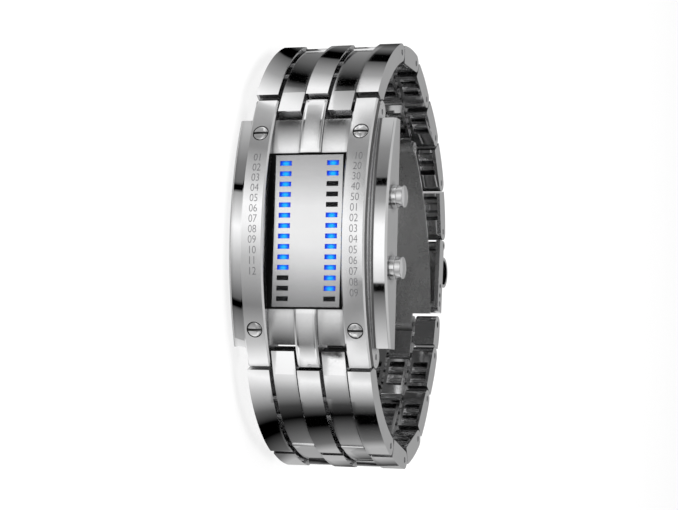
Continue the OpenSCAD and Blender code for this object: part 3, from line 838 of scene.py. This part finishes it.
@dataclass
class Buttons:
    """Push buttons that slide in the thin-lipped cups of their tubes, turned from a profile.

    Sizes are in millimetres, heights over the guard's side.
    """

    finishes: Finishes
    tube_r: float = 1.2
    cup_r: float = 2.05
    cup_h: float = 0.9
    lip: float = 0.13
    cap_r: float = 1.89
    cap_low: float = 0.55
    cap_high: float = 2.08
    round_off: float = 0.2
    dome_h: float = 0.16
    stem_r: float = 0.7
    depth: float = 5.5
    play: float = 0.04
    bevel: float = 0.06
    foot: float = 0.05
    cup_floor: float = 0.03
    tube_rise: float = 0.6
    dome_steps: int = 6
    sharp_angle: float = 24.0

    def _turned(self, name: str, profile: Sequence[tuple[float, float]], axis: Vector) -> bpy.types.Object:
        """Spins a profile round a button's axis.

        Args:
            name: name of the piece.
            profile: (radius, height over the guard's side) pairs in millimetres.
            axis: where the axis leaves the guard's side.

        Returns:
            The piece.
        """
        shell = bmesh.new()
        verts = [shell.verts.new((r * MM, 0.0, h * MM)) for r, h in profile]
        edges = [shell.edges.new(pair) for pair in zip(verts, verts[1:])]
        bmesh.ops.spin(shell, geom=verts + edges, cent=(0, 0, 0), axis=(0, 0, 1), angle=math.tau, steps=72,
                       use_merge=True)
        bmesh.ops.remove_doubles(shell, verts=shell.verts[:], dist=1e-6)
        bmesh.ops.recalc_face_normals(shell, faces=shell.faces[:])
        for face in shell.faces:
            face.smooth = True
        for edge in shell.edges:
            edge.smooth = edge.is_boundary or edge.calc_face_angle(0.0) < math.radians(self.sharp_angle)
        bmesh.ops.translate(shell, verts=shell.verts[:], vec=axis)
        piece = made_of(name, shell)
        self.finishes.wear(piece, "button_steel")
        return piece

    def _cap(self) -> list[tuple[float, float]]:
        """Draws the cap with its rounded rim, shallow dome and stem.

        Returns:
            The profile from the axis round to the axis.
        """
        rim = [(self.cap_r - self.round_off * (1 - math.cos(a)), self.cap_high - self.round_off * (1 - math.sin(a)))
               for a in (math.radians(degrees) for degrees in (0, 22.5, 45, 67.5, 90))]
        inner = self.cap_r - self.round_off
        shares = [1 - step / self.dome_steps for step in range(1, self.dome_steps + 1)]
        dome = [(inner * share, self.cap_high + self.dome_h * (1 - share ** 2)) for share in shares]
        return [(0.0, -self.depth), (self.stem_r, -self.depth), (self.stem_r, self.cap_low),
                (self.cap_r - self.bevel, self.cap_low), (self.cap_r, self.cap_low + self.bevel)] + rim + dome

    def _cup(self) -> list[tuple[float, float]]:
        """Draws the tube and the cup round the cap.

        Returns:
            The closed profile.
        """
        bore = self.stem_r + self.play
        inside = self.cup_r - self.lip
        bottom = -self.depth + self.tube_rise
        return [(bore, bottom), (self.tube_r, bottom), (self.tube_r, 0.0), (self.cup_r - self.foot, 0.0),
                (self.cup_r, self.foot), (self.cup_r, self.cup_h - self.bevel), (self.cup_r - self.bevel, self.cup_h),
                (inside, self.cup_h), (inside, self.cup_floor), (bore, self.cup_floor), (bore, bottom)]

    def build(self) -> None:
        """Makes both buttons and both tubes."""
        _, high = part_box("guard_right")
        for side in ("upper", "lower"):
            low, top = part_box(f"button_tube_{side}")
            axis = Vector(((low[0] + top[0]) / 2, (low[1] + top[1]) / 2, high[2]))
            for name, profile, node, body in (
                    (f"push_cap_{side}", self._cap(), f"button_{side}", f"button_{side}"),
                    (f"cap_cup_{side}", self._cup(), f"button_tube_{side}", "head")):
                piece = self._turned(name, profile, axis)
                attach(piece, body)
                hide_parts(node)
                LOG.info("built %s", piece.name)


@dataclass
class Bracelet:
    """The links and pins of both sides."""

    finishes: Finishes
    edge: float = 0.16
    pin_edge: float = 0.05

    def dress(self) -> None:
        """Gives links and pins their finishes."""
        for name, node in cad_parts.items():
            if name.startswith("link_"):
                self.finishes.wear(node, "link_steel")
                soften(node, self.edge)
                LOG.info("dressed %s", name)
            elif name.startswith(("pin_", "lug_pin_")) or name in ("cover_pin", "spring_bar"):
                self.finishes.wear(node, "pin_steel")
                soften(node, self.pin_edge)


@dataclass
class Clasp:
    """Cover, flap and folded blades."""

    finishes: Finishes
    edge: float = 0.08

    def dress(self) -> None:
        """Gives the clasp's nodes their finishes."""
        for name, finish in (("clasp_cover", "link_steel"), ("safety_flap", "link_steel"),
                             ("blade_middle", "blade_steel"), ("blade_end", "blade_steel")):
            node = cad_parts[name]
            self.finishes.wear(node, finish)
            soften(node, self.edge)
            LOG.info("dressed %s with %s", name, finish)


Tones = tuple[tuple[float, float], ...]

# Brightness of the floor card by direction in degrees: 0 is in front of the dial, -90 at 12 o'clock, 90 at 6
OUTER_TONES: Tones = (
    (-180, 0.15), (-150, 0.05), (-128, 0.05), (-118, 0.15), (-107, 0.0), (-98.5, 0.0), (-97, 0.1), (-82, 0.35),
    (-69, 0.95), (-62, 0.9), (-54, 0.4), (-38, 0.25), (-24, 0.6), (-13, 1.0), (-5, 0.95), (10, 0.5), (30, 0.2),
    (46, 0.55), (53, 0.95), (60, 0.55), (70, 0.1), (76, 0.0), (83, 0.0), (98, 0.15), (105, 0.45), (118, 0.45),
    (132, 0.05), (180, 0.15))
INNER_TONES: Tones = (
    (-180, 0.1), (-128, 0.05), (-118, 0.25), (-92, 0.1), (-81, 0.0), (-75, 0.0), (-71, 0.1), (-62, 0.9),
    (-55, 1.0), (43, 1.0), (50, 0.9), (60, 0.35), (70, 0.05), (78, 0.0), (94, 0.15), (105, 0.35), (118, 0.35),
    (132, 0.05), (180, 0.1))
PANEL_TONES: Tones = (
    (-180, 0.1), (-47, 0.05), (-40, 0.35), (-30, 0.8), (-24, 1.0), (12, 0.9), (24, 0.6), (42, 0.05), (180, 0.1))
BAR_TONES: Tones = (
    (-180, 0.5), (-60, 0.6), (-51, 0.3), (-42, 0.5), (-31, 0.95), (8, 0.95), (24, 0.65), (42, 0.2), (52, 0.9),
    (56, 1.0), (180, 0.5))
LEFT_GUARD_TONES: Tones = (
    (-180, 0.5), (-49, 0.5), (-33, 0.2), (-23.5, 0.15), (-22.8, 0.0), (-20, 0.0), (-19.3, 0.35), (-3, 1.0),
    (15, 0.45), (30.5, 0.1), (31.2, 0.0), (34, 0.0), (34.7, 0.1), (46, 0.35), (180, 0.5))
RIGHT_GUARD_TONES: Tones = (
    (-180, 0.5), (-51, 0.5), (-40, 0.25), (-27.5, 0.15), (-26.8, 0.0), (-24, 0.0), (-23.3, 0.25), (-17, 0.35),
    (-7, 1.0), (6, 1.0), (16.8, 0.7), (17.6, 0.0), (20.6, 0.0), (21.3, 0.1), (46, 0.7), (180, 0.5))
INSIDE_TONES: Tones = ((-180, 0.12), (-165, 0.06), (165, 0.06), (180, 0.12))
FAR_TONES: Tones = (
    (-180, 0.7), (-140, 0.35), (-95, 0.75), (-50, 0.3), (-5, 0.85), (45, 0.3), (90, 0.75), (140, 0.35), (180, 0.7))


@dataclass(frozen=True)
class Zone:
    """A sector of a ring on the floor card that mirrors in one group of steel faces.

    The ring lies between near and far, in metres, and the sector between first and last, in degrees. The tones
    are turned by lead degrees, and the ring's radius grows by lean metres a degree away from the front.
    """

    near: float
    far: float
    first: float
    last: float
    tones: Tones
    lead: float = 0.0
    lean: float = 0.0

    def mask(self, tree: Tree, reach: Val, turn: Val) -> Val:
        """Finds where the card lies in the zone.

        Args:
            tree: the card's material.
            reach: distance from the ring's middle in metres.
            turn: direction, 0 to 1 for a full turn.

        Returns:
            1 in the zone, 0 outside.
        """
        reach = reach - (turn - 0.5).abs() * (self.lean * 360)
        return ((reach > self.near) * (reach < self.far) * (turn > self.first / 360 + 0.5)
                * (turn < self.last / 360 + 0.5))


ZONES: tuple[Zone, ...] = (
    Zone(0.0335, 0.048, -180, -57, OUTER_TONES, lead=-9),
    Zone(0.0, 0.0335, -180, -57, INSIDE_TONES), Zone(0.0, 0.036, 62, 180, INSIDE_TONES),
    Zone(0.048, 0.0622, -180, -49, INNER_TONES), Zone(0.0782, 0.0955, -180, -49, INNER_TONES),
    Zone(0.0493, 0.0645, 44, 66, INNER_TONES), Zone(0.0795, 0.0965, 44, 66, INNER_TONES),
    Zone(0.052, 0.067, 66, 180, INNER_TONES), Zone(0.083, 0.1, 66, 180, INNER_TONES),
    Zone(0.0, 0.0295, -60, 47, LEFT_GUARD_TONES), Zone(0.0455, 0.0605, -49, 44.2, PANEL_TONES),
    Zone(0.073, 0.0885, -49, 44.2, PANEL_TONES), Zone(0.0605, 0.0708, -60, 51, BAR_TONES),
    Zone(0.0985, 1.0, -60, 47, RIGHT_GUARD_TONES, lean=0.00019), Zone(0.128, 1.0, -181, 181, FAR_TONES),
    Zone(0.09, 0.128, -181, -135, FAR_TONES), Zone(0.09, 0.128, 135, 181, FAR_TONES),
)


@dataclass
class Studio:
    """Pale floor, soft lamps, the cards that the steel mirrors, and the camera of the photograph.

    Sizes are in metres, apart from the camera's, which are in millimetres and radians as they were fitted.
    """

    middle: Vector
    lens: float = 96.18
    sensor: float = 36.0
    yaw: float = 0.31406
    pitch: float = 0.08508
    roll: float = 0.02773
    distance: float = 302.21633
    aim: tuple[float, float] = (6.31079, -4.38421)
    floor_half: float = 2.5
    floor_glow: float = 0.72
    paper_scale: float = 60.0
    paper_tones: tuple[float, float] = (0.93, 0.95)
    paper_rough: float = 0.9
    sky_light: float = 0.5
    focus: float = 0.023
    card_z: float = 0.0004
    card_in: float = 0.002
    card_out: float = 0.6
    card_level: float = 1.15
    card_segments: int = 96
    hollow_r: float = 0.017
    hollow_tone: float = 0.04
    wall_h: float = 0.34
    wall_tone: float = 0.33
    wall_front: float = 0.55
    ceiling_tone: float = 0.5

    def build(self) -> None:
        """Makes floor, world, lamps and camera."""
        self._floor()
        self._cards()
        self._wall()
        self._ceiling()
        self._world()
        self._lamp("lamp_top", (0.0, -0.05, 0.75), 0.7, 5.0)
        self._lamp("lamp_front", (0.15, -0.7, 0.45), 0.5, 3.0)
        self._lamp("lamp_twelve", (-0.7, -0.1, 0.35), 0.4, 2.5)
        self._camera()

    def _floor(self) -> None:
        """Makes the pale floor."""
        shell = bmesh.new()
        bmesh.ops.create_grid(shell, x_segments=1, y_segments=1, size=self.floor_half)
        floor = made_of("studio_floor", shell)
        tree = Tree("floor_paper")
        dark, pale = ((tone,) * 3 for tone in self.paper_tones)
        tree.set(Base_Color=tree.mix(tree.noise(self.paper_scale, 2.0), dark, pale), Roughness=self.paper_rough)
        glow = tree.node("ShaderNodeEmission", {}, {"Color": (1.0, 1.0, 1.0), "Strength": 1.0})
        paper = Val(tree, tree.shader.outputs[0])
        mixed = tree.node("ShaderNodeMixShader", {}, {0: tree.seen() * self.floor_glow, 1: paper, 2: glow})
        tree.put(tree.output.inputs["Surface"], mixed)
        floor.data.materials.append(tree.material)

    def _cards(self) -> None:
        """Makes the ring of white and dark cards on the floor round the watch."""
        shell = bmesh.new()
        lift = Matrix.Translation((0, 0, self.card_z))
        rings = [bmesh.ops.create_circle(shell, segments=self.card_segments, radius=radius, matrix=lift)
                 for radius in (self.card_in, self.card_out)]
        edges = {edge for ring in rings for vert in ring["verts"] for edge in vert.link_edges}
        bmesh.ops.bridge_loops(shell, edges=list(edges))
        tree = Tree("card_paper")
        turn, reach = self._bearings(tree)
        tone = self._tones(tree, turn, OUTER_TONES)
        for zone in ZONES:
            there = self._tones(tree, turn + zone.lead / 360, zone.tones)
            tone = tree.mix(zone.mask(tree, reach, turn), tone, there)
        tone = tree.mix(reach < self.hollow_r, tone, (self.hollow_tone,) * 3)
        self._hang("studio_cards", shell, tree, tone)

    @staticmethod
    def _bearings(tree: Tree) -> tuple[Val, Val]:
        """Gives a card's polar coordinates.

        Args:
            tree: the card's material.

        Returns:
            The direction, 0 to 1 for a full turn with 0.5 in front, and the distance from the middle in metres.
        """
        x, y, _ = tree.axes()
        return x.heading(0.0 - y) / math.tau + 0.5, (x * x + y * y).power(0.5)

    @staticmethod
    def _tones(tree: Tree, turn: Val, tones: Tones) -> Val:
        """Reads a brightness by direction, from one ramp for each half turn.

        Args:
            tree: the card's material.
            turn: direction, 0 to 1 for a full turn.
            tones: (degrees, brightness) pairs.

        Returns:
            The brightness as a colour.
        """
        before = [pair for pair in tones if pair[0] < 0.0][-1]
        after = next(pair for pair in tones if pair[0] >= 0.0)
        share = (0.0 - before[0]) / (after[0] - before[0])
        middle = (0.0, before[1] + (after[1] - before[1]) * share)
        halves = []
        for start in (-180.0, 0.0):
            inside = [pair for pair in tones if start <= pair[0] <= start + 180.0]
            if all(angle != 0.0 for angle, _ in inside):
                inside = sorted(inside + [middle])
            stops = [((angle - start) / 180.0, (level,) * 3) for angle, level in inside]
            place = (turn - (start + 180.0) / 360.0) * 2.0
            halves.append(tree.node("ShaderNodeValToRGB", {"stops": stops}, {0: place}))
        return tree.mix(turn > 0.5, halves[0], halves[1])

    def _hang(self, name: str, shell: bmesh.types.BMesh, tree: Tree, tone: Any) -> None:
        """Hangs a glowing card round the watch that only glossy rays see.

        Args:
            name: the card's name.
            shell: its bmesh.
            tree: its material.
            tone: its brightness.
        """
        card = made_of(name, shell)
        card.location = (self.middle.x, self.middle.y + self.focus, 0.0)
        glow = tree.node("ShaderNodeEmission", {}, {"Color": tone, "Strength": self.card_level})
        tree.put(tree.output.inputs["Surface"], glow)
        card.data.materials.append(tree.material)
        for ray in ("camera", "diffuse", "transmission", "volume_scatter", "shadow"):
            setattr(card, f"visible_{ray}", False)

    def _wall(self) -> None:
        """Makes the round wall of cards: as the floor's in front of the dial, grey behind the watch."""
        shell = bmesh.new()
        bmesh.ops.create_cone(shell, cap_ends=False, segments=self.card_segments, radius1=self.card_out,
                              radius2=self.card_out, depth=self.wall_h,
                              matrix=Matrix.Translation((0, 0, self.wall_h / 2)))
        tree = Tree("wall_paper")
        turn, _ = self._bearings(tree)
        front = (turn > 0.25) * (turn < 0.75)
        dim = tree.mix(1.0 - self.wall_front, self._tones(tree, turn, OUTER_TONES), (0.0, 0.0, 0.0))
        self._hang("studio_wall", shell, tree, tree.mix(front, (self.wall_tone,) * 3, dim))

    def _ceiling(self) -> None:
        """Makes the grey round card overhead."""
        shell = bmesh.new()
        bmesh.ops.create_circle(shell, cap_ends=True, segments=self.card_segments, radius=self.card_out,
                                matrix=Matrix.Translation((0, 0, self.wall_h)))
        self._hang("studio_ceiling", shell, Tree("ceiling_paper"), (self.ceiling_tone,) * 3)

    def _world(self) -> None:
        """Makes an even white world, full to camera, glossy and transmission rays."""
        world = bpy.data.worlds.new("studio_world")
        bpy.context.scene.world = world
        tree = Nodes(world)
        sky = tree.nodes["Background"]
        tree.put(sky.inputs["Strength"], tree.seen() * (1.0 - self.sky_light) + self.sky_light)
        tree.put(sky.inputs["Color"], (1.0, 1.0, 1.0))

    @staticmethod
    def _lamp(name: str, place: Sequence[float], size: float, power: float) -> None:
        """Makes one soft lamp that faces the frame's middle.

        Args:
            name: name of the lamp.
            place: where it hangs, in metres.
            size: side of the square lamp.
            power: watts.
        """
        lamp = bpy.data.lights.new(name, "AREA")
        lamp.shape = "SQUARE"
        lamp.size = size
        lamp.energy = power
        obj = bpy.data.objects.new(name, lamp)
        bpy.context.scene.collection.objects.link(obj)
        way = Vector() - Vector(place)
        obj.matrix_world = Matrix.Translation(place) @ way.to_track_quat("-Z", "Y").to_matrix().to_4x4()

    def _camera(self) -> None:
        """Makes the camera that was fitted to the photograph, turned with the watch onto its side."""
        sy, cy, sp, cp = math.sin(self.yaw), math.cos(self.yaw), math.sin(self.pitch), math.cos(self.pitch)
        back = Vector((sy * cp, -cy * cp, -sp))
        right = (-back).cross(Vector((0, 0, 1))).normalized()
        up = right.cross(-back)
        right, up = (math.cos(self.roll) * right + math.sin(self.roll) * up,
                     -math.sin(self.roll) * right + math.cos(self.roll) * up)
        spot = right * self.aim[0] + up * self.aim[1] + back * self.distance
        lying = Matrix(((0, 0, -1), (0, 1, 0), (1, 0, 0)))
        spot, right, up, back = (lying @ v for v in (spot, right, up, back))
        data = bpy.data.cameras.new("camera")
        data.lens = self.lens
        data.sensor_width = self.sensor
        data.clip_start = 0.01
        data.clip_end = 20.0
        camera = bpy.data.objects.new("camera", data)
        bpy.context.scene.collection.objects.link(camera)
        turn = Matrix((right, up, back)).transposed().to_4x4()
        camera.matrix_world = Matrix.Translation(self.middle + spot * MM) @ turn
        bpy.context.scene.camera = camera


def screw_places(middle: Vector, half: tuple[float, float, float], is_round: bool,
                 tone: float) -> tuple[PaintedShade, ...]:
    """Gives painted shade at each of the four plate screws.

    Args:
        middle: front of the head's middle, in metres.
        half: half sizes of the recess, in millimetres.
        is_round: whether it is a round hole.
        tone: how bright the painted shade leaves its metal.

    Returns:
        The painted shades.
    """
    places = []
    for way in (-1, 1):
        angle = way * math.asin(SCREW_X / FRONT_R)
        for side in (-1, 1):
            spot = (middle.x + FRONT_R * math.sin(angle) * MM, middle.y + FRONT_R * (1 - math.cos(angle)) * MM,
                    middle.z + side * PLATE_Z * MM)
            places.append(PaintedShade(spot, half, angle, is_round, tone))
    return tuple(places)


def make_finishes(middle: Vector) -> Finishes:
    """Makes every finish of the watch.

    Args:
        middle: front of the head's middle, in metres.

    Returns:
        The finishes.
    """
    finishes = Finishes()
    # Painted shade: the well round the display nearly black, and the grooves round the plate screws, the screws'
    # slots and the plates' side walls grey, as shade in them would be.
    well_half, well_y = (13.29, 2.45, 6.88), 2.3
    ring_half, ring_tone = (1.41, 2.0, 1.41), 0.12
    slot_half, slot_tone = (0.205, 1.6, 1.5), 0.1
    wall_half, wall_y, wall_z, wall_tone = (30.0, 8.0, 0.02), 5.0, 11.0, 0.12
    well_shade = PaintedShade((middle.x, middle.y + well_y * MM, middle.z), well_half)
    rings = screw_places(middle, ring_half, True, ring_tone)
    slot_shades = screw_places(middle, slot_half, False, slot_tone)
    wall_shades = tuple(PaintedShade((middle.x, middle.y + wall_y * MM, middle.z + way * wall_z * MM), wall_half, tone=wall_tone)
                  for way in (-1, 1))
    finishes.add(
        Steel("case_steel", roughness=0.24, marks=0.08, painted_shades=(well_shade,)),
        Steel("plate_steel", roughness=0.12, grain=Grain.ALONG, grain_depth=0.00004, painted_shades=rings + wall_shades,
              is_trued=True, arc=(middle.x, middle.y + FRONT_R * MM, FRONT_R * MM)),
        Steel("guard_steel", roughness=0.035, marks=0.02, is_trued=True),
        Steel("bright_steel", roughness=0.08, marks=0.03, is_trued=True),
        Steel("screw_steel", roughness=0.14, marks=0.04, painted_shades=slot_shades),
        Steel("button_steel", roughness=0.1, marks=0.03),
        Steel("link_steel", roughness=0.05, marks=0.02, is_trued=True),
        Steel("pin_steel", colour=(0.62, 0.62, 0.63), roughness=0.25),
        Steel("blade_steel", colour=(0.7, 0.7, 0.7), roughness=0.26, grain=Grain.ALONG, grain_depth=0.0001),
        Steel("cell_steel", roughness=0.2),
        SatinMask("satin_mask", middle.x),
        Steel("engraving", colour=(0.26, 0.26, 0.27), roughness=0.45, dirt_and_shade=0.0),
        Moulded("black_plastic", (0.02, 0.02, 0.022)),
        Moulded("black_rubber", (0.012, 0.012, 0.012), 0.7),
        Moulded("board_coat", (0.01, 0.03, 0.02), 0.35),
        WatchGlass(),
        LightBlocks("hour_lights", middle.x, middle.z - COLUMN_Z * MM, ((1, 11),)),
        LightBlocks("minute_lights", middle.x, middle.z + COLUMN_Z * MM, ((1, 2), (6, 13))),
    )
    return finishes


def main() -> None:
    """Dresses the watch, builds the studio and reports."""
    logging.basicConfig(level=logging.INFO, format="%(message)s")
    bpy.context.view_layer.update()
    low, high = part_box("plate_right")
    left_low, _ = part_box("plate_left")
    middle = Vector(((low[0] + high[0]) / 2, low[1], (left_low[2] + high[2]) / 2))
    finishes = make_finishes(middle)
    display = Display(finishes)
    for part in (Head(finishes), display, Bracelet(finishes), Clasp(finishes)):
        part.dress()
    display.glaze()
    Buttons(finishes).build()
    Numerals(finishes, middle.x, middle.y + FRONT_R * MM).build()
    Studio(middle).build()
    bpy.context.scene.view_settings.view_transform = "Standard"


if __name__ == "__main__":
    main()
